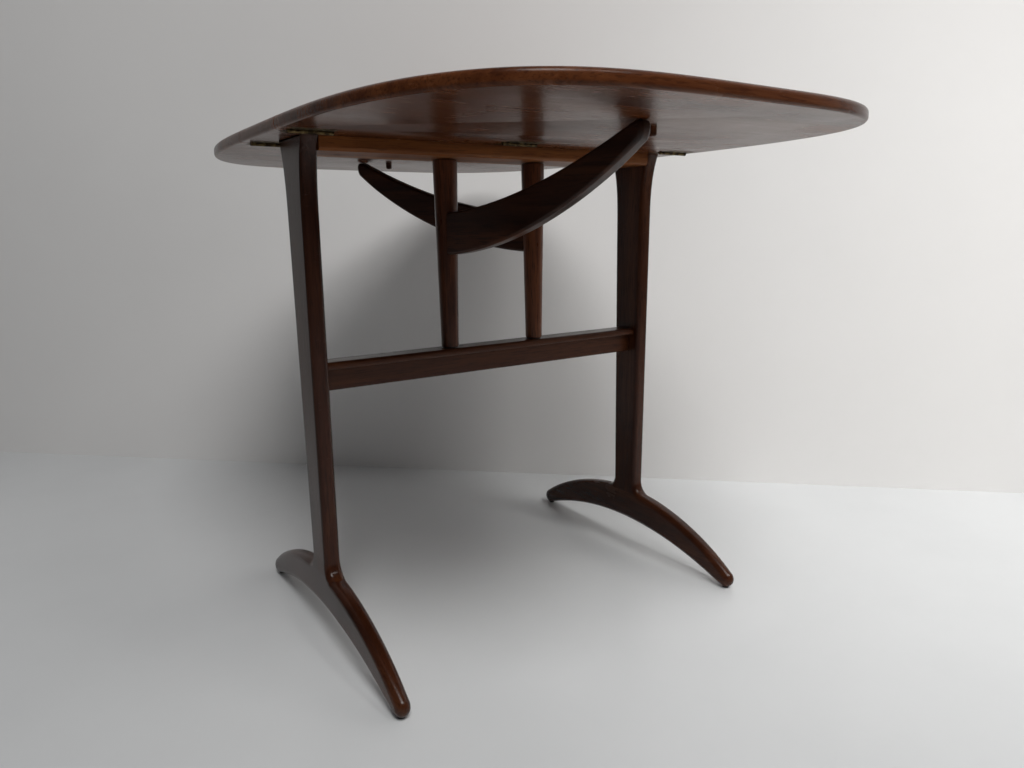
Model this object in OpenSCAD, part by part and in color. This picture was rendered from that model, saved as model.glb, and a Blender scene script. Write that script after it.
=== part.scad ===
// Drop leaf table. A narrow fixed centre stands on two board posts with arched feet.
// Two leaves hang on hinges under its long edges, and two curved arms, each on a
// turning spindle, swing out under the leaves to hold them up.
// The origin is on the floor below the middle of the top. X runs along the seams.

/* [Top] */
// Height of the underside of the top above the floor
underside_z = 538; // [520:1:560]
// Thickness of the top
top_t = 12; // [11:0.5:16]
// Size of the top along the seams
top_length = 533; // [528:1:560]
// Size of the open top across the leaves
top_width = 760; // [720:1:800]
// Width of the fixed centre section
centre_w = 120; // [118:1:122]
// Gap between the centre section and each leaf
seam_gap = 1; // [0.8:0.1:1.2]
// Roundness of the outline along X, where 2 is an ellipse
round_x = 3.8; // [3:0.1:5]
// Roundness of the outline along Y, where 2 is an ellipse
round_y = 3.5; // [3:0.1:5]

/* [Posts] */
// Distance between the middles of the two posts
post_spacing = 450; // [448:1:460]
// Thickness of the posts
post_t = 18; // [16:1:20]
// Half width of a post where it meets its foot
post_foot_hw = 21; // [20:0.5:24]
// Half width of a post below its flared head
post_neck_hw = 25.5; // [24:0.5:27]
// Half width of the flared head
post_head_hw = 36.5; // [36:0.5:40]
// Height of the flared head
flare_h = 68; // [50:1:80]
// Radius of the hollow where a post meets its foot
foot_fillet = 17; // [8:1:18]

/* [Feet] */
// Thickness of a foot
foot_t = 20; // [18:1:22]
// Thickness of a foot at its tips
foot_tip_t = 16; // [14:0.5:18]
// Distance between the two tip centres of a foot
foot_span = 367; // [340:1:400]
// Height of the crown of a foot
foot_crown_z = 78; // [72:1:80]
// Height of the arch below a foot
foot_arch_z = 36.5; // [33:0.5:40]
// Radius of a foot's tip
foot_tip_r = 10.5; // [9:0.5:11]
// Height of a glide
glide_h = 1.5; // [1:0.5:2.5]
// Radius of a glide
glide_r = 4; // [3.5:0.5:4.5]

/* [Rail and stretcher] */
// Thickness of the rail below the top
rail_t = 14; // [13:0.5:16]
// Half width of the rail below the top
rail_hw = 34; // [32:0.5:35]
// Height of the upper face of the stretcher
stretcher_z = 312; // [300:1:330]
// Thickness of the stretcher's cap
cap_t = 8; // [8:0.5:12]
// Half width of the stretcher's cap
cap_hw = 14.5; // [13:0.5:17]
// Depth of the stretcher's lower rail
web_h = 24; // [20:1:28]
// Thickness of the stretcher's lower rail
web_t = 10; // [9:0.5:12]

/* [Spindles and arms] */
// Distance of each spindle from the middle
spindle_x = 60; // [58:1:62]
// Spindle radius at its lower end
spindle_low_r = 10; // [9.5:0.5:11]
// Spindle radius at its upper end
spindle_high_r = 14; // [13.5:0.5:14]
// Thickness of an arm
arm_t = 16; // [14:0.5:16]
// Reach of an arm from its spindle's axis
arm_reach = 276; // [270:0.5:276]
// Depth of an arm at its spindle
arm_root_h = 46.5; // [42:0.5:50]
// Drop of an arm's upper edge at its spindle below the top
arm_root_drop = 72.5; // [70:0.5:76]
// Rest angle of the front arm, measured from the rail
front_arm_open = 80; // [60:1:90]
// Rest angle of the rear arm, measured from the rail
rear_arm_open = 65; // [60:1:90]
// Length of a stop peg below the leaf
peg_drop = 8; // [6:0.5:8]
// Distance of a stop peg from its arm's spindle axis
peg_reach = 247; // [235:0.5:247]
// Angle of the front stop peg, measured from the rail
front_peg_open = 67; // [50:1:75]
// Angle of the rear stop peg, measured from the rail
rear_peg_open = 71; // [50:1:75]

/* [Hinges] */
// Length of a hinge
hinge_len = 44; // [40:1:46]
// Distance of the outer hinges from the middle
hinge_x = 233; // [232:0.5:234]
// Width of a hinge plate from its pin
plate_w = 20; // [18:0.5:22]
// Thickness of a hinge plate
plate_t = 1.5; // [1.2:0.1:1.6]
// Radius of a hinge knuckle
knuckle_r = 2.2; // [2:0.1:2.2]
// Radius of a hinge pin
pin_r = 1; // [0.8:0.1:1.1]

/* [Hidden] */
$fn = 48;

// Running clearance round the pins, and the small gap between touching bodies
run_fit = 0.05;
body_gap = 0.3;

// Top
outline_steps = 120;
seam_y = centre_w / 2 + seam_gap / 2;
top_z = underside_z + top_t;

// Posts, feet, rail and stretcher
post_x = post_spacing / 2;
post_in_x = post_x - post_t / 2;
rail_z = underside_z - rail_t;
foot_tip_y = foot_span / 2;
foot_tip_z = foot_tip_r + glide_h - 0.8;
foot_waist = 50;
crown_r = (pow(foot_tip_y, 2) + pow(foot_tip_z - foot_crown_z, 2) - pow(foot_tip_r, 2))
    / (2 * (foot_crown_z - foot_tip_z - foot_tip_r));
arch_r = (pow(foot_tip_y, 2) + pow(foot_tip_z - foot_arch_z, 2) - pow(foot_tip_r, 2))
    / (2 * (foot_arch_z - foot_tip_z + foot_tip_r));
seat_hw = post_foot_hw + foot_fillet;
seat_z = foot_crown_z - crown_r + sqrt(pow(crown_r, 2) - pow(seat_hw, 2));
cap_z = stretcher_z - cap_t;
web_z = cap_z - web_h;

// Tenons: thickness, width and depth
foot_tenon = [10, 30, 24];
web_tenon = [9, 6, 14];

// Spindles, their pivots and their arms
washer_t = 1;
spindle_low_z = stretcher_z + washer_t;
spindle_high_z = rail_z - washer_t;
pivot_r = 3;
pivot_in_spindle = 17;
pivot_in_frame = 10.5;
arm_root_z = underside_z - arm_root_drop;
arm_seat = 8;
arm_dowel_z = [arm_root_z - 33, arm_root_z - 12];
arm_dowel_end = 30;
peg_r = 4;
peg_in_leaf = 7;

// Wooden dowels and screws
dowel_r = 3;
dowel_half = 10;
end_dowel_y = 8;
head_dowel_y = 20;
head_dowel_in_top = 7;
cap_dowel_x = [-150, 0, 150];
rail_screw_x = [-185, -120, 120, 185];
rail_screw_r = 2;
rail_screw_head_r = 4;
rail_screw_end = 8;

// Hinges, measured from the pin's axis
pin_z = underside_z - 1;
plate_z = underside_z - pin_z;
knuckle_half = 7.4;
knuckle_gap = 0.2;
plate_back = knuckle_r + 0.4;
leaf_places = [-hinge_x, 0, hinge_x];
screw_places = [[-15, 9], [15, 9], [0, 15]];
screw_head_r = 2.4;
screw_r = 1.1;
screw_len = 7;
slot_w = 0.6;
slot_depth = 0.5;

HINGES = [for (side = ["front", "rear"], place = ["left", "middle", "right"]) str(side, "_", place)];

// Points of a superellipse with half axes a and b
function superellipse(a, b) = [
    for (i = [0:outline_steps - 1])
        let (t = 360 * i / outline_steps)
            [a * sign(cos(t)) * pow(abs(cos(t)), 2 / round_x), b * sign(sin(t)) * pow(abs(sin(t)), 2 / round_y)]
];

// Points along a circular arc from angle a0 to a1
function arc(centre, r, a0, a1, steps) = [
    for (i = [0:steps]) let (t = a0 + (a1 - a0) * i / steps) centre + r * [cos(t), sin(t)]
];

// Points along a cubic curve with the end points p0 and p3
function curve(p0, p1, p2, p3, steps) = [
    for (i = [0:steps])
        let (t = i / steps, u = 1 - t) u * u * u * p0 + 3 * u * u * t * p1 + 3 * u * t * t * p2 + t * t * t * p3
];

// The same outline on the other side of the vertical axis, in reverse order
function mirrored(points) = [for (i = [len(points) - 1:-1:0]) [-points[i][0], points[i][1]]];

// One side of a post, from the middle of its head down to its seat on the foot
post_side = concat(
    curve(
        [post_head_hw, underside_z],
        [post_head_hw - 7, underside_z - 0.2 * flare_h],
        [post_neck_hw + 1, underside_z - 0.5 * flare_h],
        [post_neck_hw, underside_z - flare_h],
        12
    ),
    arc([seat_hw, seat_z + foot_fillet], foot_fillet, 180, 270, 8)
);

// One side of a foot, from its flat seat out over the tip and back under the arch
tip_top_a = atan2(foot_tip_z - foot_crown_z + crown_r, foot_tip_y);
tip_low_a = atan2(foot_arch_z - arch_r - foot_tip_z, -foot_tip_y);
foot_side = concat(
    arc([0, foot_crown_z - crown_r], crown_r, acos(seat_hw / crown_r), tip_top_a, 16),
    arc([foot_tip_y, foot_tip_z], foot_tip_r, tip_top_a - 10, tip_low_a, 12),
    arc([0, foot_arch_z - arch_r], arch_r, tip_low_a + 180, 90, 20)
);

// Half of a foot from above, full width beside the post and then narrowing to its tips
foot_plan = [
    [foot_tip_t / 2, -foot_span / 2 - foot_tip_r],
    [foot_t / 2, -foot_waist],
    [foot_t / 2, foot_waist],
    [foot_tip_t / 2, foot_span / 2 + foot_tip_r]
];

// An arm's side outline, with the spindle's axis at 0
arm_top_z = underside_z - body_gap;
arm_low_z = arm_root_z - arm_root_h;
arm_outline = concat(
    curve(
        [arm_seat, arm_root_z],
        [0.35 * arm_reach, arm_root_z + 4.5],
        [0.69 * arm_reach, arm_root_z + 34.5],
        [arm_reach - 9, arm_top_z],
        20
    ),
    curve(
        [arm_reach - 5, arm_top_z],
        [arm_reach, arm_top_z],
        [arm_reach + 1, arm_top_z - 10],
        [arm_reach - 4, arm_top_z - 17],
        6
    ),
    curve(
        [arm_reach - 8, arm_top_z - 20],
        [0.69 * arm_reach, arm_low_z + 41],
        [0.33 * arm_reach, arm_low_z + 4],
        [arm_seat, arm_low_z],
        20
    )
);

// Extrudes a side outline, drawn as Y and Z, by a thickness along X about x
module board(x, thickness) {
    translate([x - thickness / 2, 0, 0]) rotate([90, 0, 90]) linear_extrude(thickness) children();
}

// A box centred on X and Y between two heights
module block(size_xy, z0, z1) {
    translate([-size_xy[0] / 2, -size_xy[1] / 2, z0]) cube([size_xy[0], size_xy[1], z1 - z0]);
}

// An upright round between two heights
module upright(x, y, r, z0, z1) {
    translate([x, y, z0]) cylinder(r = r, h = z1 - z0);
}

// A round along X between two places
module lengthwise(y, z, r, x0, x1) {
    translate([x0, y, z]) rotate([0, 90, 0]) cylinder(r = r, h = x1 - x0);
}

// Puts a hinge's parts in place: they are drawn with the pin along X and the leaf on +Y
module at_hinge(side, x) {
    translate([x, side * seam_y, pin_z]) mirror([0, side < 0 ? 1 : 0, 0]) children();
}

// Every hinge on one side of the table
module each_hinge(side) {
    for (x = leaf_places) at_hinge(side, x) children();
}

// Turns a spindle's parts, drawn with the arm along +X, to the arm's rest angle
module at_spindle(x, heading) {
    translate([x, 0, 0]) rotate([0, 0, heading]) children();
}

// The hollow that a plate and the top of its knuckles lie in
module hinge_recess() {
    translate([-hinge_len / 2 - 0.1, -plate_w - 0.1, 0]) cube([hinge_len + 0.2, 2 * plate_w + 0.2, plate_z + plate_t]);
}

// A countersunk screw whose head is flush with a face at height 0
module screw(head_r, head_h, r, end, clearance) {
    cylinder(r1 = head_r + clearance, r2 = r + clearance, h = head_h);
    translate([0, 0, head_h]) cylinder(r = r + clearance, h = end - head_h);
}

// The screws of one hinge plate, on the side given
module plate_screws(side, clearance) {
    for (p = screw_places) translate([p[0], side * p[1], plate_z]) screw(screw_head_r, plate_t, screw_r, plate_t + screw_len, clearance);
}

// Slots in the heads of a hinge plate's screws
module screw_slots(side) {
    for (p = screw_places) translate([p[0], side * p[1], plate_z]) {
        cube([2 * screw_head_r + 1, slot_w, 2 * slot_depth], center = true);
    }
}

// The whole oval top, without holes
module top_slab() {
    translate([0, 0, underside_z]) linear_extrude(top_t) polygon(superellipse(top_length / 2, top_width / 2));
}

module rail_screw_shapes(clearance) {
    for (x = rail_screw_x) translate([x, 0, rail_z]) screw(rail_screw_head_r, 3, rail_screw_r, rail_t + rail_screw_end, clearance);
}

module head_dowels() {
    for (x = [-post_x, post_x], y = [-head_dowel_y, head_dowel_y]) {
        upright(x, y, dowel_r, underside_z - 2 * dowel_half + head_dowel_in_top, underside_z + head_dowel_in_top);
    }
}

module end_dowels() {
    for (x = [-post_in_x, post_in_x], y = [-end_dowel_y, end_dowel_y]) {
        lengthwise(y, underside_z - rail_t / 2, dowel_r, x - dowel_half, x + dowel_half);
    }
}

module cap_dowel_shapes() {
    for (x = cap_dowel_x) upright(x, 0, dowel_r - 0.5, cap_z - dowel_half, cap_z + 5);
}

module centre_top() {
    color("#6b3418") difference() {
        intersection() {
            top_slab();
            block([top_length, centre_w], underside_z, top_z);
        }
        for (side = [-1, 1]) each_hinge(side) {
            hinge_recess();
            plate_screws(-1, run_fit);
        }
        rail_screw_shapes(run_fit);
        head_dowels();
    }
}

module leaf(side) {
    color("#74391b") difference() {
        intersection() {
            top_slab();
            translate([0, side * (seam_y + seam_gap / 2 + top_width / 4), 0]) block([top_length, top_width / 2], underside_z, top_z);
        }
        each_hinge(side) {
            hinge_recess();
            plate_screws(1, run_fit);
        }
        stop_peg(side);
    }
}

module top_rail() {
    color("#9a5424") difference() {
        block([2 * post_in_x, 2 * rail_hw], rail_z, underside_z);
        for (x = [-spindle_x, spindle_x]) upright(x, 0, pivot_r + run_fit, rail_z - 1, rail_z + pivot_in_frame + 0.5);
        rail_screw_shapes(run_fit);
        end_dowels();
    }
}

module post(x) {
    color("#3a1a10") difference() {
        union() {
            board(x, post_t) polygon(concat(mirrored(post_side), post_side));
            translate([x, 0, 0]) block([foot_tenon[0], foot_tenon[1]], seat_z - foot_tenon[2], seat_z + 1);
        }
        translate([0, 0, web_z]) stretcher_tenons();
        head_dowels();
        end_dowels();
    }
}

module foot(x) {
    color("#32160d") difference() {
        intersection() {
            board(x, foot_t) polygon(concat(foot_side, mirrored(foot_side)));
            translate([x, 0, -1]) linear_extrude(foot_crown_z + post_t) polygon(concat(foot_plan, mirrored(foot_plan)));
        }
        translate([x, 0, 0]) block([foot_tenon[0], foot_tenon[1]], seat_z - foot_tenon[2], seat_z + 1);
        block([post_spacing + 2 * foot_t, 2 * foot_span], -1, glide_h);
        glides(x, run_fit);
    }
}

// A glide is a flat button on a nail
module glides(x, clearance) {
    for (y = [-foot_tip_y, foot_tip_y]) {
        upright(x, y, glide_r, 0, glide_h);
        upright(x, y, 1 + clearance, glide_h - 0.5, glide_h + 9);
    }
}

// Both end tenons of the stretcher's lower rail, with the rail's lower face at 0
module stretcher_tenons() {
    block([2 * (post_in_x + web_tenon[0]), web_tenon[1]], (web_h - web_tenon[2]) / 2, (web_h + web_tenon[2]) / 2);
}

module stretcher_rail() {
    color("#3f1d11") difference() {
        union() {
            block([2 * post_in_x, web_t], web_z, cap_z);
            translate([0, 0, web_z]) stretcher_tenons();
        }
        cap_dowel_shapes();
        lower_pivot_bores();
    }
}

module lower_pivot_bores() {
    for (x = [-spindle_x, spindle_x]) upright(x, 0, pivot_r + run_fit, stretcher_z - pivot_in_frame - 0.5, stretcher_z + 1);
}

module stretcher_cap() {
    color("#4a2414") difference() {
        block([2 * post_in_x, 2 * cap_hw], cap_z, stretcher_z);
        cap_dowel_shapes();
        lower_pivot_bores();
    }
}

module arm_dowels(x, heading) {
    color("#c49a6c") at_spindle(x, heading) for (z = arm_dowel_z) lengthwise(0, z, dowel_r, 0, arm_dowel_end);
}

module spindle(x, heading) {
    color("#43200f") difference() {
        translate([x, 0, spindle_low_z]) cylinder(r1 = spindle_low_r, r2 = spindle_high_r, h = spindle_high_z - spindle_low_z);
        at_spindle(x, heading) translate([arm_seat, -arm_t / 2, arm_low_z]) cube([spindle_high_r, arm_t, arm_root_h + 0.5]);
        arm_dowels(x, heading);
        upright(x, 0, pivot_r, spindle_low_z - 1, spindle_low_z + pivot_in_spindle);
        upright(x, 0, pivot_r, spindle_high_z - pivot_in_spindle, spindle_high_z + 1);
    }
}

module arm(x, heading) {
    color("#35170e") difference() {
        at_spindle(x, heading) translate([0, arm_t / 2, 0]) rotate([90, 0, 0]) linear_extrude(arm_t) polygon(arm_outline);
        arm_dowels(x, heading);
    }
}

module upper_pivot(x) {
    color("#b08a5a") upright(x, 0, pivot_r, spindle_high_z - pivot_in_spindle, rail_z + pivot_in_frame);
}

module lower_pivot(x) {
    color("#b08a5a") upright(x, 0, pivot_r, stretcher_z - pivot_in_frame, spindle_low_z + pivot_in_spindle);
}

module spindle_washers() {
    color("#d9cfae") for (x = [-spindle_x, spindle_x], z = [stretcher_z, rail_z - washer_t]) difference() {
        upright(x, 0, spindle_low_r - 1, z, z + washer_t);
        upright(x, 0, pivot_r + 2 * run_fit, z - 1, z + 2 * washer_t);
    }
}

// A peg stands in the leaf, short enough for its arm to pass below it
module stop_peg(side) {
    x = side < 0 ? -spindle_x : spindle_x;
    heading = side < 0 ? -front_peg_open : 180 - rear_peg_open;
    color("#2a120a") at_spindle(x, heading) {
        upright(peg_reach, 0, peg_r, underside_z - peg_drop + 1, underside_z + peg_in_leaf);
        translate([peg_reach, 0, underside_z - peg_drop]) cylinder(r1 = peg_r - 1, r2 = peg_r, h = 1);
    }
}

module fixed_plate(side, x) {
    color("#b8923f") at_hinge(side, x) difference() {
        union() {
            translate([-hinge_len / 2, -plate_w, plate_z]) cube([hinge_len, plate_w - plate_back, plate_t]);
            for (x0 = [-hinge_len / 2, knuckle_half + knuckle_gap]) {
                knuckle(x0, hinge_len / 2 - knuckle_half - knuckle_gap, -1);
            }
        }
        pin_bore();
        plate_screws(-1, run_fit);
    }
}

module moving_plate(side, x) {
    color("#b8923f") at_hinge(side, x) difference() {
        union() {
            translate([-hinge_len / 2, plate_back, plate_z]) cube([hinge_len, plate_w - plate_back, plate_t]);
            knuckle(-knuckle_half, 2 * knuckle_half, 1);
        }
        pin_bore();
        plate_screws(1, run_fit);
    }
}

// A rolled knuckle that starts at x0, joined to the plate on the side given
module knuckle(x0, length, side) {
    lengthwise(0, 0, knuckle_r, x0, x0 + length);
    translate([x0, side < 0 ? -plate_back - 1 : 0, plate_z - 0.8]) cube([length, plate_back + 1, plate_t + 0.8]);
}

module pin_bore() {
    lengthwise(0, 0, pin_r + run_fit, -hinge_len, hinge_len);
}

module hinge_pin(side, x) {
    color("#8f7a4a") at_hinge(side, x) lengthwise(0, 0, pin_r, -hinge_len / 2, hinge_len / 2);
}

module plate_screw_set(side, plate_side) {
    color("#a58a4e") each_hinge(side) difference() {
        plate_screws(plate_side, 0);
        screw_slots(plate_side);
    }
}

module centre_hinge_screws() {
    plate_screw_set(-1, -1);
    plate_screw_set(1, -1);
}

centre_top();
leaf(-1);  // front_leaf
leaf(1);  // rear_leaf
top_rail();
post(-post_x);  // left_post
post(post_x);  // right_post
foot(-post_x);  // left_foot
foot(post_x);  // right_foot
color("#1c1a18") glides(-post_x, 0);  // left_foot_glides
color("#1c1a18") glides(post_x, 0);  // right_foot_glides
stretcher_cap();
stretcher_rail();
spindle(-spindle_x, -front_arm_open);  // front_spindle
spindle(spindle_x, 180 - rear_arm_open);  // rear_spindle
arm(-spindle_x, -front_arm_open);  // front_arm
arm(spindle_x, 180 - rear_arm_open);  // rear_arm
upper_pivot(-spindle_x);  // front_upper_pivot
upper_pivot(spindle_x);  // rear_upper_pivot
lower_pivot(-spindle_x);  // front_lower_pivot
lower_pivot(spindle_x);  // rear_lower_pivot
spindle_washers();
arm_dowels(-spindle_x, -front_arm_open);  // front_arm_dowels
arm_dowels(spindle_x, 180 - rear_arm_open);  // rear_arm_dowels
stop_peg(-1);  // front_stop_peg
stop_peg(1);  // rear_stop_peg
color("#c49a6c") head_dowels();  // post_head_dowels
color("#c49a6c") end_dowels();  // rail_end_dowels
color("#c49a6c") cap_dowel_shapes();  // cap_dowels
color("#a58a4e") rail_screw_shapes(0);  // rail_screws
centre_hinge_screws();
plate_screw_set(-1, 1);  // front_leaf_hinge_screws
plate_screw_set(1, 1);  // rear_leaf_hinge_screws
for (i = [0:5]) {
    fixed_plate(i < 3 ? -1 : 1, leaf_places[i % 3]);
    moving_plate(i < 3 ? -1 : 1, leaf_places[i % 3]);
    hinge_pin(i < 3 ? -1 : 1, leaf_places[i % 3]);
}
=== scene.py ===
"""Drop leaf table of rounded, polished wood with aged brass hinges, on a plain pale floor.

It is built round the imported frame. Lengths are in millimetres, and MM turns them into metres where meshes are
made. X runs along the seams of the top, Y across its leaves and Z up, as in the frame.
"""

import math

import bmesh
import bpy
from mathutils import Matrix, Vector


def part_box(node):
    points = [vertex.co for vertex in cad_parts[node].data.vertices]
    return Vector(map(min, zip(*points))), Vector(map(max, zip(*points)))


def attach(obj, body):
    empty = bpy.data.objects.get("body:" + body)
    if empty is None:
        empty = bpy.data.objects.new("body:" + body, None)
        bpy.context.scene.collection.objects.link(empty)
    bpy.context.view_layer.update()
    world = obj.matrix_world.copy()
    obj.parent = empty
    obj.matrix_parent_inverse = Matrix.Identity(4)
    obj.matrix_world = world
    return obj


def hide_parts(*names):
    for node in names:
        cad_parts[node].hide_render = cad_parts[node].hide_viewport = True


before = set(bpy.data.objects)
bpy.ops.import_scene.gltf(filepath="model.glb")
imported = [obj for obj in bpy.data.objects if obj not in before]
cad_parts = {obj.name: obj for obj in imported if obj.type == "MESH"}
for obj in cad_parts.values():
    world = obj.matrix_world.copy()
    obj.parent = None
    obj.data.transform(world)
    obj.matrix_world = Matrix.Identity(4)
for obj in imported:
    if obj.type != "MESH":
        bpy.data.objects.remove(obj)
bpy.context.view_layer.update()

MM = 0.001


def span(node):
    """The lowest and highest corners of a CAD node, in millimetres."""
    low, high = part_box(node)
    return low / MM, high / MM


# Sizes read from the frame
TOP_LOW, TOP_HIGH = span("centre_top")
TOP_A, TOP_B = TOP_HIGH.x, span("rear_leaf")[1].y
SEAM_CENTRE, SEAM_LEAF = TOP_HIGH.y, span("rear_leaf")[0].y
UNDERSIDE, TOP_T = TOP_LOW.z, TOP_HIGH.z - TOP_LOW.z
RAIL_LOW, RAIL_HIGH = span("top_rail")
CAP_LOW, CAP_HIGH = span("stretcher_cap")
WEB_LOW, WEB_HIGH = span("stretcher_rail")
POST_LOW, POST_HIGH = span("right_post")
FOOT_LOW, FOOT_HIGH = span("right_foot")
POST_X, POST_T = (POST_LOW.x + POST_HIGH.x) / 2, POST_HIGH.x - POST_LOW.x
FOOT_T = FOOT_HIGH.x - FOOT_LOW.x
SPINDLE_LOW, SPINDLE_HIGH = span("rear_spindle")
SPINDLE_X = (span("rear_upper_pivot")[0].x + span("rear_upper_pivot")[1].x) / 2

# Outline of the top, as a superellipse
ROUND_X, ROUND_Y = 3.8, 3.5

# Side outline of the posts: half widths of the head, neck and lower end, and the height of the head's flare
HEAD_HW, NECK_HW, FOOT_HW, FLARE_H = POST_HIGH.y, 25.5, 21, 68

# Feet: heights of the crown and the arch, the fillet below the post, and the slope up to the post's thickness
CROWN_Z, ARCH_Z, FILLET_R, SLOPE = 78, 36.5, 17, 18

# Foot tips: radius, thickness, where the narrowing starts, how far the glide is let in, and the tip's middle
TIP_R, TIP_T, WAIST, GLIDE_SINK = 10.5, 16, 50, 0.8
TIP_Y, TIP_Z = FOOT_HIGH.y - TIP_R, FOOT_LOW.z + TIP_R - GLIDE_SINK

# The grain turns from upright to level at this height
JOINT_Z = CROWN_Z - 1.7

# Side outline of the arms, with distances from the spindle's axis, and their headings in degrees
ARM_T, ARM_REACH, ARM_ROOT = 16, 276, 2
ARM_LOW_Z, ARM_ROOT_Z, ARM_TOP_Z = span("front_arm")[0].z, 465.5, span("front_arm")[1].z
FRONT_HEADING, REAR_HEADING = -80, 115

# Spindles: radii above the lower and below the upper bevel
SPINDLE_LOW_R, SPINDLE_HIGH_R, SPINDLE_BEVEL = 10.1, 13.9, 1.2

# Radii of the rounded edges, and the number of faces round each
TOP_EDGE, UNDER_EDGE, SEAM_EDGE = 5, 3.5, 0.7
POST_EDGE, FOOT_EDGE, TIP_EDGE, ARM_EDGE = 5.5, 7.5, 9.2, 3.2
CAP_EDGE, CAP_LOW_EDGE, WEB_EDGE, RAIL_EDGE, SHARP_EDGE, END_EDGE = 3.5, 2, 2, 4, 0.3, 0.2
EDGE_STEPS = 5

# Gaps round the hinge plates in their pockets
PLATE_GAP, PLATE_DEPTH_GAP = 0.2, 0.05


# ---------------------------------------------------------------- outlines


def arc(cx, cy, r, a0, a1, steps):
    """Points on an arc, with the angles in degrees."""
    angles = [math.radians(a0 + (a1 - a0) * i / steps) for i in range(steps + 1)]
    return [Vector((cx + r * math.cos(a), cy + r * math.sin(a))) for a in angles]


def curve(p0, p1, p2, p3, steps):
    """Points on a cubic curve."""
    points = []
    for i in range(steps + 1):
        t = i / steps
        u = 1 - t
        weights = (u * u * u, 3 * u * u * t, 3 * u * t * t, t * t * t)
        points.append(sum((Vector(p) * w for p, w in zip((p0, p1, p2, p3), weights)), Vector((0, 0))))
    return points


def rounded_box(half_u, low_v, high_v, low_r, high_r, steps=5):
    """A rectangle with one radius for its two lower corners and one for its two upper ones."""
    points = []
    for u, v, r, a in (
        (half_u - low_r, low_v + low_r, low_r, -90),
        (half_u - high_r, high_v - high_r, high_r, 0),
        (high_r - half_u, high_v - high_r, high_r, 90),
        (low_r - half_u, low_v + low_r, low_r, 180),
    ):
        points += arc(u, v, r, a, a + 90, steps)
    return points


def tidy(points, gap=0.05):
    """The points without any that repeat the one before."""
    kept = []
    for p in points:
        if not kept or (p - kept[-1]).length > gap:
            kept.append(p)
    if (kept[0] - kept[-1]).length <= gap:
        kept.pop()
    return kept


def rim(side, y, steps=96):
    """The top's outline on one side, from y = side * y at the right round to the same y at the left."""
    start = math.asin((y / TOP_B) ** (ROUND_Y / 2))
    points = []
    for i in range(steps + 1):
        a = start + (math.pi - 2 * start) * i / steps
        c, s = math.cos(a), math.sin(a)
        x = TOP_A * math.copysign(abs(c) ** (2 / ROUND_X), c)
        points.append(Vector((x, side * TOP_B * abs(s) ** (2 / ROUND_Y))))
    return even(points, 8)


def even(points, gap):
    """The same line with its points spaced evenly, about one gap apart."""
    lengths = [0]
    for p, q in zip(points, points[1:]):
        lengths.append(lengths[-1] + (q - p).length)
    count = max(2, round(lengths[-1] / gap))
    result, k = [], 0
    for i in range(count + 1):
        target = lengths[-1] * i / count
        while k < len(points) - 2 and lengths[k + 1] < target:
            k += 1
        t = (target - lengths[k]) / (lengths[k + 1] - lengths[k])
        result.append(points[k].lerp(points[k + 1], min(1, max(0, t))))
    return result


def post_and_foot_outline():
    """One closed side outline, because the post runs into its foot in one smooth curve."""
    sunk = UNDERSIDE + TOP_T / 3
    crown_r = radius_through(CROWN_Z, TIP_Z, -TIP_R)
    arch_r = radius_through(ARCH_Z, TIP_Z, TIP_R)
    seat = FOOT_HW + FILLET_R
    seat_z = CROWN_Z - crown_r + math.sqrt(crown_r**2 - seat**2)
    crown_end = math.degrees(math.atan2(TIP_Z - CROWN_Z + crown_r, TIP_Y))
    arch_end = math.degrees(math.atan2(TIP_Z - ARCH_Z + arch_r, TIP_Y))
    side = [Vector((HEAD_HW, sunk))]
    side += curve(
        (HEAD_HW, UNDERSIDE),
        (HEAD_HW - 7, UNDERSIDE - 0.2 * FLARE_H),
        (NECK_HW + 1, UNDERSIDE - 0.5 * FLARE_H),
        (NECK_HW, UNDERSIDE - FLARE_H),
        12,
    )
    side += arc(seat, seat_z + FILLET_R, FILLET_R, 180, 270, 8)
    side += arc(0, CROWN_Z - crown_r, crown_r, math.degrees(math.acos(seat / crown_r)), crown_end, 20)
    side += arc(TIP_Y, TIP_Z, TIP_R, crown_end - 10, arch_end - 180, 14)
    side += arc(0, ARCH_Z - arch_r, arch_r, arch_end, 90, 20)
    return tidy(side + [Vector((-p.x, p.y)) for p in reversed(side)])


def radius_through(top_z, tip_z, tip_r):
    """Radius of an arc with its highest point at top_z that touches the foot's tip circle."""
    return (TIP_Y**2 + (tip_z - top_z) ** 2 - tip_r**2) / (2 * (top_z - tip_z + tip_r))


def arm_outline():
    """Distance from the spindle's axis and height, from the root along the upper edge to the tip and back."""
    level_end = 8
    upper = curve(
        (level_end, ARM_ROOT_Z),
        (0.35 * ARM_REACH, ARM_ROOT_Z + 4.5),
        (0.69 * ARM_REACH, ARM_ROOT_Z + 34.5),
        (ARM_REACH - 9, ARM_TOP_Z),
        24,
    )
    tip = curve(
        (ARM_REACH - 5, ARM_TOP_Z),
        (ARM_REACH, ARM_TOP_Z),
        (ARM_REACH + 1, ARM_TOP_Z - 10),
        (ARM_REACH - 4, ARM_TOP_Z - 17),
        8,
    )
    lower = curve(
        (ARM_REACH - 8, ARM_TOP_Z - 20),
        (0.69 * ARM_REACH, ARM_LOW_Z + 41),
        (0.33 * ARM_REACH, ARM_LOW_Z + 4),
        (level_end, ARM_LOW_Z),
        24,
    )
    return tidy([Vector((ARM_ROOT, ARM_ROOT_Z))] + upper + tip + lower + [Vector((ARM_ROOT, ARM_LOW_Z))])


# ---------------------------------------------------------------- meshes


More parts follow.
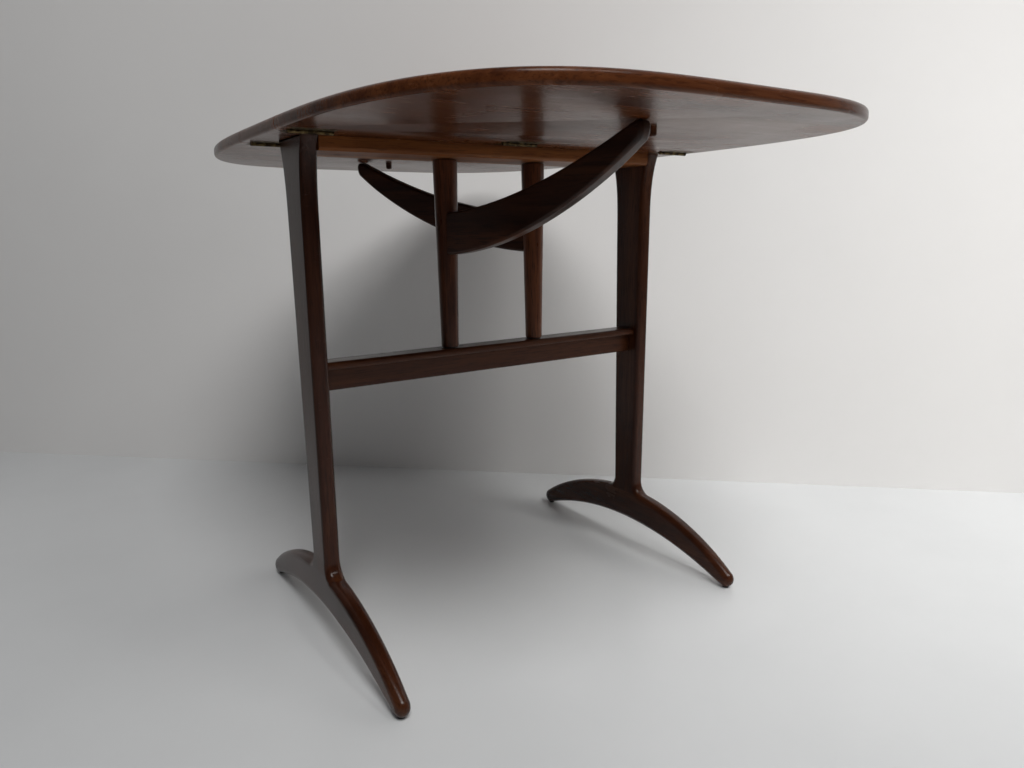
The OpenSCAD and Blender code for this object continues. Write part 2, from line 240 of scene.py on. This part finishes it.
def inward(points):
    """For each point of a closed outline, the way its edge moves when the outline shrinks by one unit."""
    area = sum(p.x * q.y - q.x * p.y for p, q in zip(points, points[1:] + points[:1]))
    turn = 1 if area > 0 else -1
    result = []
    for i, p in enumerate(points):
        a = (p - points[i - 1]).normalized()
        b = (points[(i + 1) % len(points)] - p).normalized()
        na, nb = turn * Vector((-a.y, a.x)), turn * Vector((-b.y, b.x))
        middle = na + nb
        result.append(middle / max(0.35, 1 + na.dot(nb)))
    return result


def board(name, points, thickness, to_world, low_r, high_r, moves=None):
    """A board with rounded edges.

    Its outline is points, and low_r and high_r are the edge radii at each point on its two faces. to_world
    places its outline and depth, and moves may replace the inward directions.
    """
    moves = moves or inward(points)
    rings = []
    quarter = [math.pi / 2 * k / EDGE_STEPS for k in range(EDGE_STEPS + 1)]
    for a in reversed(quarter):
        c, s = math.cos(a), math.sin(a)
        rings.append([(p + m * r * (1 - c), r - r * s) for p, m, r in zip(points, moves, low_r)])
    for a in quarter:
        c, s = math.cos(a), math.sin(a)
        rings.append([(p + m * r * (1 - c), thickness - r + r * s) for p, m, r in zip(points, moves, high_r)])
    bm = bmesh.new()
    rows = [[bm.verts.new(to_world(p.x, p.y, w)) for p, w in ring] for ring in rings]
    for low, high in zip(rows, rows[1:]):
        for i in range(len(low)):
            j = (i + 1) % len(low)
            bm.faces.new((low[i], low[j], high[j], high[i]))
    for row in (rows[0], rows[-1]):
        bm.faces.new(row)
    bmesh.ops.recalc_face_normals(bm, faces=bm.faces)
    return finish_mesh(name, bm)


def turned(name, profile, x, y, segments=48):
    """A turned piece about an upright axis. The profile is a list of radius and height."""
    bm = bmesh.new()
    rows = []
    angles = [2 * math.pi * k / segments for k in range(segments)]
    for r, z in profile:
        circle = [Vector((x + r * math.cos(a), y + r * math.sin(a), z)) for a in angles]
        rows.append([bm.verts.new(p * MM) for p in circle])
    for low, high in zip(rows, rows[1:]):
        for i in range(segments):
            j = (i + 1) % segments
            bm.faces.new((low[i], low[j], high[j], high[i]))
    bm.faces.new(rows[0])
    bm.faces.new(rows[-1])
    bmesh.ops.recalc_face_normals(bm, faces=bm.faces)
    return finish_mesh(name, bm)


def finish_mesh(name, bm, sharp=50):
    """Makes the object, smooth apart from corners sharper than the angle given."""
    mesh = bpy.data.meshes.new(name)
    bm.to_mesh(mesh)
    bm.free()
    mesh.shade_smooth()
    mesh.set_sharp_from_angle(angle=math.radians(sharp))
    obj = bpy.data.objects.new(name, mesh)
    bpy.context.scene.collection.objects.link(obj)
    normals = obj.modifiers.new("normals", "WEIGHTED_NORMAL")
    normals.keep_sharp = True
    normals.weight = 90
    return obj


def carve(obj, boxes):
    """Cuts boxes, each given by its two corners in millimetres, out of an object."""
    bm = bmesh.new()
    for low, high in boxes:
        size, middle = (high - low) * MM, (high + low) / 2 * MM
        bmesh.ops.create_cube(bm, size=1, matrix=Matrix.Translation(middle) @ Matrix.Diagonal((*size, 1)))
    cutter = finish_mesh("cutter", bm)
    cut = obj.modifiers.new("cut", "BOOLEAN")
    cut.object, cut.operation, cut.solver = cutter, "DIFFERENCE", "EXACT"
    bpy.context.view_layer.update()
    mesh = bpy.data.meshes.new_from_object(obj.evaluated_get(bpy.context.evaluated_depsgraph_get()))
    obj.modifiers.remove(cut)
    obj.data = mesh
    bpy.data.objects.remove(cutter)


# ---------------------------------------------------------------- materials


class Shader:
    """A material, with short calls that add its nodes."""

    def __init__(self, name):
        self.material = bpy.data.materials.new(name)
        self.material.use_nodes = True
        self.nodes = self.material.node_tree.nodes
        self.links = self.material.node_tree.links
        self.surface = self.nodes["Principled BSDF"]

    def add(self, kind, inputs=(), **settings):
        """Adds a node. Inputs is a dict from socket name or number to a value or an output socket."""
        node = self.nodes.new("ShaderNode" + kind)
        for key, value in settings.items():
            setattr(node, key, value)
        self.put(node, inputs)
        return node

    def put(self, node, inputs):
        for key, value in dict(inputs).items():
            if isinstance(value, bpy.types.NodeSocket):
                self.links.new(value, node.inputs[key])
            else:
                node.inputs[key].default_value = value

    def ramp(self, value, *stops):
        """A colour ramp. Each stop is a position and a grey level or a colour."""
        node = self.add("ValToRGB", {0: value})
        elements = node.color_ramp.elements
        while len(elements) < len(stops):
            elements.new(0.5)
        for element, (position, colour) in zip(elements, stops):
            element.position = position
            element.color = (*([colour] * 3 if isinstance(colour, (int, float)) else colour), 1)
        return node.outputs[0]

    def mix(self, factor, a, b, blend="MIX"):
        node = self.add("Mix", data_type="RGBA", blend_type=blend)
        self.put(node, {0: factor, 6: a, 7: b})
        return node.outputs[2]

    def math(self, operation, a, b=0.0):
        return self.add("Math", {0: a, 1: b}, operation=operation).outputs[0]

    def noise(self, place, scale, detail=3.0, roughness=0.55, distortion=0.0):
        inputs = {"Vector": place, "Scale": scale, "Detail": detail, "Roughness": roughness}
        inputs["Distortion"] = distortion
        return self.add("TexNoise", inputs).outputs["Fac"]


def grain_place(s, grain, seed):
    """Coordinates drawn out along the grain, which is a heading in degrees or one of "x", "y" and "z"."""
    where = s.add("TexCoord").outputs["Object"]
    if isinstance(grain, (int, float)):
        turn = {"Vector": where, "Angle": math.radians(-grain)}
        where, grain = s.add("VectorRotate", turn, rotation_type="Z_AXIS").outputs[0], "x"
    long = 0.07
    stretch = {"x": (long, 1, 1), "y": (1, long, 1), "z": (1, 1, long)}[grain]
    shift = (seed, 2 * seed, 3 * seed)
    return s.add("Mapping", {"Vector": where, "Location": shift, "Scale": stretch}).outputs[0]


def wood(name, colours, grains, seed=0.0, gloss=(0.2, 0.4), sheen=0.2, coat=0.08, wear_and_highlight=0.25):
    """Polished wood.

    The colours are for the pores, the body and the lightest figure. grains is the direction of the grain, or
    a pair of directions for above and below the line where a post meets its foot. gloss is the range of
    roughness, and the last argument is how far sharply rounded edges take the lightest colour, which is partly
    wear and partly a painted highlight.
    """
    dark, middle, light = colours
    s = Shader(name)
    if isinstance(grains, tuple):
        height = s.add("SeparateXYZ", {0: s.add("TexCoord").outputs["Object"]}).outputs[2]
        above = s.math("GREATER_THAN", height, JOINT_Z * MM)
        place = s.add("Mix", data_type="VECTOR")
        s.put(place, {0: above, 4: grain_place(s, grains[1], seed + 3), 5: grain_place(s, grains[0], seed)})
        place = place.outputs[1]
    else:
        place = grain_place(s, grains, seed)
    plain = s.add("TexCoord").outputs["Object"]

    # Broad figure, growth lines and the fine dark pores
    figure = s.noise(place, 16, 3, 0.5, 1.2)
    lines = s.noise(place, 95, 5, 0.65, 0.5)
    pores = s.noise(place, 620, 2, 0.5)
    pattern = s.math("ADD", s.math("MULTIPLY", figure, 0.6), s.math("MULTIPLY", lines, 0.4))
    colour = s.ramp(pattern, (0.36, dark), (0.5, middle), (0.66, light))
    pore = s.ramp(pores, (0.36, 1.0), (0.46, 0.0))
    pore_shade = s.mix(s.math("MULTIPLY", pore, 0.55), colour, (*dark, 1))

    # Uneven polish, and sharply rounded edges drawn lighter: partly wear from handling,
    # partly a painted highlight along the arrises
    cloudy = s.noise(plain, 9, 4, 0.6)
    tone = s.mix(0.35, pore_shade, s.ramp(cloudy, (0.3, 0.55), (0.7, 1.0)), "MULTIPLY")
    edge = s.ramp(s.add("NewGeometry").outputs["Pointiness"], (0.51, 0.0), (0.58, 1.0))
    wear_and_highlight_edges = s.math("MULTIPLY", edge, s.ramp(s.noise(plain, 38, 4, 0.7), (0.42, 0.0), (0.62, 1.0)))
    tone = s.mix(s.math("MULTIPLY", wear_and_highlight_edges, wear_and_highlight), tone, (*light, 1))

    # Fine scuffs run any way across the polish
    slanted = {"Vector": plain, "Rotation": (0.4, 0.7, 0.9), "Scale": (1, 9, 9)}
    scuff_place = s.add("Mapping", slanted).outputs[0]
    scuffs = s.ramp(s.noise(scuff_place, 70, 3, 0.7, 0.6), (0.66, 0.0), (0.74, 1.0))
    low, high = gloss
    polish = s.math("ADD", s.math("MULTIPLY", cloudy, 0.7), s.math("MULTIPLY", lines, 0.3))
    shine = s.ramp(polish, (0.3, low), (0.7, high))
    shine = s.math("ADD", shine, s.math("MULTIPLY", scuffs, 0.12))
    relief = s.math("SUBTRACT", s.math("MULTIPLY", lines, 0.25), s.math("MULTIPLY", pore, 0.3))
    relief = s.math("SUBTRACT", relief, s.math("MULTIPLY", scuffs, 0.1))
    bump = s.add("Bump", {"Height": relief, "Strength": 0.22, "Distance": 0.0006})
    s.put(
        s.surface,
        {
            "Base Color": tone,
            "Roughness": shine,
            "Normal": bump.outputs[0],
            "Coat Weight": coat,
            "Coat Roughness": 0.1,
            "Specular IOR Level": sheen,
        },
    )
    return s.material


def brass(name, bright, tarnish, roughness):
    """Aged metal with tarnish in patches, fine brushing and small pits."""
    s = Shader(name)
    where = s.add("TexCoord").outputs["Object"]
    patches = s.ramp(s.noise(where, 160, 5, 0.65), (0.34, 0.0), (0.56, 1.0))
    brushed = s.noise(s.add("Mapping", {"Vector": where, "Scale": (0.05, 1, 1)}).outputs[0], 2600, 2)
    pits = s.ramp(s.noise(where, 1500, 2), (0.62, 0.0), (0.72, 1.0))
    colour = s.mix(patches, (*bright, 1), (*tarnish, 1))
    colour = s.mix(s.math("MULTIPLY", pits, 0.5), colour, (0.03, 0.02, 0.012, 1))
    rough = s.math("ADD", s.math("MULTIPLY", brushed, 0.12), roughness)
    rough = s.math("ADD", s.math("MULTIPLY", patches, 0.2), rough)
    bump = s.add("Bump", {"Height": s.math("SUBTRACT", brushed, pits), "Strength": 0.15, "Distance": 0.0002})
    s.put(s.surface, {"Base Color": colour, "Metallic": 1.0, "Roughness": rough, "Normal": bump.outputs[0]})
    return s.material


def plain_stuff(name, colour, speck, roughness):
    """Dull plastic or bare wood with a fine speckle."""
    s = Shader(name)
    where = s.add("TexCoord").outputs["Object"]
    fine = s.noise(where, 900, 3)
    s.put(
        s.surface,
        {
            "Base Color": s.mix(s.ramp(fine, (0.4, 0.0), (0.65, 1.0)), (*colour, 1), (*speck, 1)),
            "Roughness": s.math("ADD", s.math("MULTIPLY", fine, 0.2), roughness),
            "Normal": s.add("Bump", {"Height": fine, "Strength": 0.1, "Distance": 0.0002}).outputs[0],
        },
    )
    return s.material


# Colours of the pores, the body and the lightest figure
LEG = ((0.02, 0.0058, 0.0026), (0.042, 0.012, 0.0048), (0.08, 0.026, 0.0095))
# Painted shade: the arms' wood is drawn darker than the legs' for the dark reflections on their faces
ARM = ((0.008, 0.0022, 0.001), (0.03, 0.0088, 0.0034), (0.07, 0.022, 0.008))
# Painted light: the spindles' wood, which the stop pegs share, is drawn lighter than the legs' for the light on
# their sides
SPINDLE = ((0.02, 0.005, 0.002), (0.1, 0.029, 0.01), (0.19, 0.062, 0.021))
TOP = ((0.034, 0.0088, 0.0032), (0.086, 0.0252, 0.0082), (0.158, 0.0535, 0.019))
RAIL = ((0.075, 0.020, 0.004), (0.18, 0.055, 0.011), (0.28, 0.10, 0.024))
SATIN = (0.24, 0.38)

leg_wood = wood("leg_wood", LEG, ("z", "y"), gloss=(0.18, 0.3), coat=0.06)
spindle_wood = wood("spindle_wood", SPINDLE, "z", seed=5, gloss=SATIN)
stretcher_wood = wood("stretcher_wood", LEG, "x", seed=8, gloss=SATIN)
arm_woods = [
    wood(f"arm_wood_{i}", ARM, float(heading), seed=11 + i, gloss=SATIN)
    for i, heading in enumerate((FRONT_HEADING, REAR_HEADING))
]
rail_wood = wood("rail_wood", RAIL, "x", seed=2, gloss=(0.4, 0.55), coat=0.0, wear_and_highlight=0.1)
top_woods = [
    wood(f"top_wood_{i}", TOP, "x", seed=30 + i, gloss=(0.2, 0.32), sheen=0.13, coat=0.04) for i in range(3)
]
old_brass = brass("old_brass", (0.19, 0.135, 0.06), (0.035, 0.022, 0.012), 0.36)
pin_metal = brass("pin_metal", (0.18, 0.14, 0.09), (0.035, 0.025, 0.015), 0.38)
bare_wood = plain_stuff("bare_wood", (0.42, 0.27, 0.14), (0.25, 0.14, 0.07), 0.6)
dark_nylon = plain_stuff("dark_nylon", (0.018, 0.016, 0.015), (0.05, 0.046, 0.042), 0.5)


# ---------------------------------------------------------------- the table's pieces


def dress(obj, material):
    obj.data.materials.clear()
    obj.data.materials.append(material)


def piece(obj, body, nodes, material):
    """Gives a piece its material and its body, and hides the CAD nodes that it stands for."""
    dress(obj, material)
    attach(obj, body)
    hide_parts(*nodes)


def hinge_pockets():
    """The boxes cut for the hinge plates, one round each plate pair, with a small gap."""
    boxes = []
    for side in ("front", "rear"):
        for where in ("left", "middle", "right"):
            low_a, high_a = span(f"{side}_{where}_fixed_plate")
            low_b, high_b = span(f"{side}_{where}_moving_plate")
            low_y, high_y = min(low_a.y, low_b.y) - PLATE_GAP, max(high_a.y, high_b.y) + PLATE_GAP
            low = Vector((low_a.x - PLATE_GAP, low_y, UNDERSIDE - 20))
            high = Vector((high_a.x + PLATE_GAP, high_y, high_a.z + PLATE_DEPTH_GAP))
            boxes.append((low, high))
    return boxes


def flat(u, v, w):
    """Places the top's outline, with w measured up from the underside."""
    return Vector((u, v, UNDERSIDE + w)) * MM


def top_board(name, points):
    """One board of the top. Its outer edge is well rounded, and its seams only just."""
    moves = inward(points)
    for i, p in enumerate(points):
        for seam in (SEAM_CENTRE, SEAM_LEAF):
            if abs(abs(p.y) - seam) < 0.01 and abs(p.x) > TOP_A - 2:
                to_wood = math.copysign(1 if seam == SEAM_LEAF else -1, p.y)
                moves[i] = Vector((-math.copysign(1, p.x), to_wood * SEAM_EDGE / TOP_EDGE))
    count = len(points)
    return board(name, points, TOP_T, flat, [UNDER_EDGE] * count, [TOP_EDGE] * count, moves)


pockets = hinge_pockets()
for i, (side, body) in enumerate(((-1, "front_leaf_part"), (1, "rear_leaf_part"))):
    name = ("front_leaf", "rear_leaf")[i]
    obj = top_board(name + "_board", tidy(rim(side, SEAM_LEAF)))
    carve(obj, pockets)
    piece(obj, body, [name], top_woods[i])

ends = [Vector((TOP_A, y)) for y in (-SEAM_CENTRE, 0, SEAM_CENTRE)]
obj = top_board("centre_board", ends + [Vector((-p.x, p.y)) for p in reversed(ends)])
carve(obj, pockets)
piece(obj, "frame", ["centre_top"], top_woods[2])


def board_on_edge(x, thickness):
    """Places an outline of Y and Z, with the board's thickness along X about x."""
    return lambda u, v, w: Vector((x - thickness / 2 + w, u, v)) * MM


def post_edge(p):
    """The edges of a foot are rounder than those of its post, and its tips are nearly half round."""
    blend = 40
    foot = min(1, max(0, (CROWN_Z + SLOPE - p.y) / SLOPE))
    tip = min(1, max(0, (abs(p.x) - TIP_Y + blend) / blend))
    return POST_EDGE + (FOOT_EDGE - POST_EDGE) * foot + (TIP_EDGE - FOOT_EDGE) * tip * tip


def shape_post_and_foot(obj, x):
    """Thins the post above its foot, with a short slope between, and narrows the foot towards its tips."""
    slope_z = CROWN_Z - 2
    bm = bmesh.new()
    bm.from_mesh(obj.data)
    up, along = (0, 0, 1), (0, 1, 0)
    slope_ends = (((0, 0, slope_z), up), ((0, 0, slope_z + SLOPE), up))
    waists = (((0, -WAIST, 0), along), ((0, WAIST, 0), along))
    for place, way in slope_ends + waists:
        everything = bm.verts[:] + bm.edges[:] + bm.faces[:]
        bmesh.ops.bisect_plane(bm, geom=everything, plane_co=Vector(place) * MM, plane_no=way)
    for v in bm.verts:
        post = min(1, max(0, (v.co.z / MM - slope_z) / SLOPE))
        tip = max(0, (abs(v.co.y) / MM - WAIST) / (FOOT_HIGH.y - WAIST))
        scale = 1 + post * (POST_T / FOOT_T - 1) + tip * (TIP_T / FOOT_T - 1)
        v.co.x = x * MM + (v.co.x - x * MM) * scale
    bm.to_mesh(obj.data)
    bm.free()


outline = post_and_foot_outline()
edges = [post_edge(p) for p in outline]
for name, x in (("left", -POST_X), ("right", POST_X)):
    obj = board(f"{name}_post_and_foot", outline, FOOT_T, board_on_edge(x, FOOT_T), edges, edges)
    shape_post_and_foot(obj, x)
    piece(obj, "frame", [f"{name}_post", f"{name}_foot"], leg_wood)


def beam(node, low, high, low_r, high_r, material):
    """A straight board along X with rounded long edges, in place of a CAD node."""
    points = rounded_box((high.y - low.y) / 2, low.z, high.z, low_r, high_r)
    ends = [END_EDGE] * len(points)
    length = high.x - low.x
    obj = board(node + "_board", points, length, board_on_edge((low.x + high.x) / 2, length), ends, ends)
    piece(obj, "frame", [node], material)


beam("stretcher_cap", CAP_LOW, CAP_HIGH, CAP_LOW_EDGE, CAP_EDGE, stretcher_wood)
web_low = Vector((CAP_LOW.x, WEB_LOW.y, WEB_LOW.z))
web_high = Vector((CAP_HIGH.x, WEB_HIGH.y, CAP_LOW.z))
beam("stretcher_rail", web_low, web_high, WEB_EDGE, SHARP_EDGE, stretcher_wood)
beam("top_rail", RAIL_LOW, RAIL_HIGH, RAIL_EDGE, SHARP_EDGE, rail_wood)


def along_arm(x, heading):
    """Places an outline of distance and height, with the arm's thickness across its heading."""
    turn = Matrix.Rotation(math.radians(heading), 3, "Z")
    return lambda u, v, w: (Vector((x, 0, 0)) + turn @ Vector((u, w - ARM_T / 2, v))) * MM


def arm_edge(p):
    """Sharper at the root, and rounder near the tip."""
    blend = 30
    return min(ARM_EDGE, 1 + 0.4 * p.x) + 1.5 * min(1, max(0, (p.x - ARM_REACH + blend) / blend))


def spindle_profile(low_z, high_z, steps=12):
    """Straight sides that widen upwards, with a small bevel at each end."""
    start, rise = low_z + SPINDLE_BEVEL, high_z - low_z - 2 * SPINDLE_BEVEL
    widening = SPINDLE_HIGH_R - SPINDLE_LOW_R
    profile = [(SPINDLE_LOW_R - 0.9, low_z), (SPINDLE_LOW_R - 0.3, low_z + 0.3)]
    profile += [(SPINDLE_LOW_R + widening * i / steps, start + rise * i / steps) for i in range(steps + 1)]
    return profile + [(SPINDLE_HIGH_R - 0.3, high_z - 0.3), (SPINDLE_HIGH_R - 0.9, high_z)]


outline = arm_outline()
edges = [arm_edge(p) for p in outline]
arms = (("front", -SPINDLE_X, FRONT_HEADING), ("rear", SPINDLE_X, REAR_HEADING))
for i, (name, x, heading) in enumerate(arms):
    body = f"{name}_swing_arm"
    obj = board(f"{name}_arm_board", outline, ARM_T, along_arm(x, heading), edges, edges)
    piece(obj, body, [f"{name}_arm"], arm_woods[i])
    obj = turned(f"{name}_spindle_turned", spindle_profile(SPINDLE_LOW.z, SPINDLE_HIGH.z), x, 0)
    piece(obj, body, [f"{name}_spindle"], spindle_wood)

for name in ("front", "rear"):
    low, high = span(f"{name}_stop_peg")
    r = (high.x - low.x) / 2
    profile = [(r - 2.2, low.z), (r - 1.2, low.z + 0.3), (r - 0.4, low.z + 1.1), (r, low.z + 2.2)]
    profile.append((r, UNDERSIDE + 2))
    obj = turned(f"{name}_stop_peg_turned", profile, (low.x + high.x) / 2, (low.y + high.y) / 2, 32)
    piece(obj, f"{name}_leaf_part", [f"{name}_stop_peg"], spindle_wood)

finishes = {
    "fixed_plate": ("brass", old_brass),
    "moving_plate": ("brass", old_brass),
    "hinge_pin": ("pin_steel", pin_metal),
    "screws": ("brass", old_brass),
    "glides": ("glide_nylon", dark_nylon),
    "washers": ("glide_nylon", dark_nylon),
    "dowels": ("dowel_wood", bare_wood),
    "pivot": ("dowel_wood", bare_wood),
}
for name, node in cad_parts.items():
    for ending, (slot, material) in finishes.items():
        if name.endswith(ending):
            dress(node, material)


# ---------------------------------------------------------------- floor, backdrop, lights and camera

# In metres and degrees, from the middle of the table
WALL_DISTANCE, WALL_HEADING, WALL_HEIGHT = 0.427, 47, 3
ROOM = 6.0


def room_paint(name, base, cloud, rough):
    """Pale paint with faint clouds, clear when seen from behind."""
    s = Shader(name)
    where = s.add("TexCoord").outputs["Object"]
    clouds = s.noise(where, 2.2, 5, 0.6)
    colour = s.mix(s.ramp(clouds, (0.35, 0.0), (0.75, 1.0)), (*base, 1), (*cloud, 1))
    shine = s.math("ADD", s.math("MULTIPLY", clouds, 0.15), rough)
    bump = s.add("Bump", {"Height": s.noise(where, 90, 2), "Strength": 0.05, "Distance": 0.001})
    s.put(s.surface, {"Base Color": colour, "Roughness": shine, "Normal": bump.outputs[0]})
    clear = s.add("BsdfTransparent").outputs[0]
    behind = s.add("NewGeometry").outputs["Backfacing"]
    both = s.add("MixShader", {0: behind, 1: s.surface.outputs[0], 2: clear})
    s.links.new(both.outputs[0], s.nodes["Material Output"].inputs[0])
    return s.material


def sheet(name, corners, material):
    mesh = bpy.data.meshes.new(name)
    mesh.from_pydata(corners, [], [list(range(len(corners)))])
    obj = bpy.data.objects.new(name, mesh)
    bpy.context.scene.collection.objects.link(obj)
    mesh.materials.append(material)


floor_paint = room_paint("floor_paint", (0.65, 0.665, 0.675), (0.60, 0.615, 0.625), 0.24)
wall_paint = room_paint("wall_paint", (0.82, 0.81, 0.80), (0.79, 0.78, 0.77), 0.55)
sheet("floor", [(-ROOM, -ROOM, 0), (ROOM, -ROOM, 0), (ROOM, ROOM, 0), (-ROOM, ROOM, 0)], floor_paint)
out = Matrix.Rotation(math.radians(WALL_HEADING), 3, "Z") @ Vector((1, 0, 0))
along = Vector((-out.y, out.x, 0)) * ROOM
ground, up = out * WALL_DISTANCE, Vector((0, 0, WALL_HEIGHT))
corners = (ground - along, ground - along + up, ground + along + up, ground + along)
sheet("wall", [tuple(p) for p in corners], wall_paint)


def area_light(name, place, aim, size, power, colour, glint=True, spread=180):
    """A soft light that can't be seen itself, nor mirrored without a glint. Its spread is in degrees."""
    data = bpy.data.lights.new(name, "AREA")
    data.shape, data.size, data.size_y = "RECTANGLE", *size
    data.energy, data.color, data.spread = power, colour, math.radians(spread)
    obj = bpy.data.objects.new(name, data)
    bpy.context.scene.collection.objects.link(obj)
    obj.location = place
    obj.rotation_euler = (Vector(aim) - Vector(place)).to_track_quat("-Z", "Y").to_euler()
    obj.visible_camera = False
    obj.visible_glossy = glint


# The main light from above, one for the floor at the right, and a weak warm one low at the right
WHITE, WARM = (1.0, 0.99, 0.98), (1.0, 0.96, 0.92)
area_light("ceiling", (-0.57, -1.53, 2.73), (0, 0, 0.3), (1.1, 1.1), 51, WHITE)
area_light("spot", (0.6, -1.6, 2.2), (0.8, -0.2, 0.1), (0.6, 0.6), 3.6, (1.0, 0.99, 0.97), spread=60)
area_light("lamp", (1.05, -0.95, 0.7), (0.5, -0.1, 0.2), (0.5, 0.7), 0.9, WARM, glint=False, spread=90)

SKY_COLOUR, SKY_STRENGTH = (0.86, 0.89, 0.93, 1), 0.07
world = bpy.data.worlds.new("soft_room")
world.use_nodes = True
sky = world.node_tree.nodes["Background"].inputs
sky["Color"].default_value, sky["Strength"].default_value = SKY_COLOUR, SKY_STRENGTH
bpy.context.scene.world = world

# In metres, degrees and millimetres of focal length
CAMERA_PLACE = (-0.479, -0.7605, 0.4493)
CAMERA_HEADING, CAMERA_TILT, CAMERA_ROLL = 33.6, -11.92, -0.73
LENS = 26.19

camera = bpy.data.objects.new("camera", bpy.data.cameras.new("camera"))
bpy.context.scene.collection.objects.link(camera)
heading = Matrix.Rotation(math.radians(-CAMERA_HEADING), 4, "Z")
tilt = Matrix.Rotation(math.radians(90 + CAMERA_TILT), 4, "X")
roll = Matrix.Rotation(math.radians(CAMERA_ROLL), 4, "Z")
camera.matrix_world = Matrix.Translation(CAMERA_PLACE) @ heading @ tilt @ roll
camera.data.lens = LENS
camera.data.clip_start = 0.01
bpy.context.scene.camera = camera
bpy.context.scene.view_settings.view_transform = "Standard"
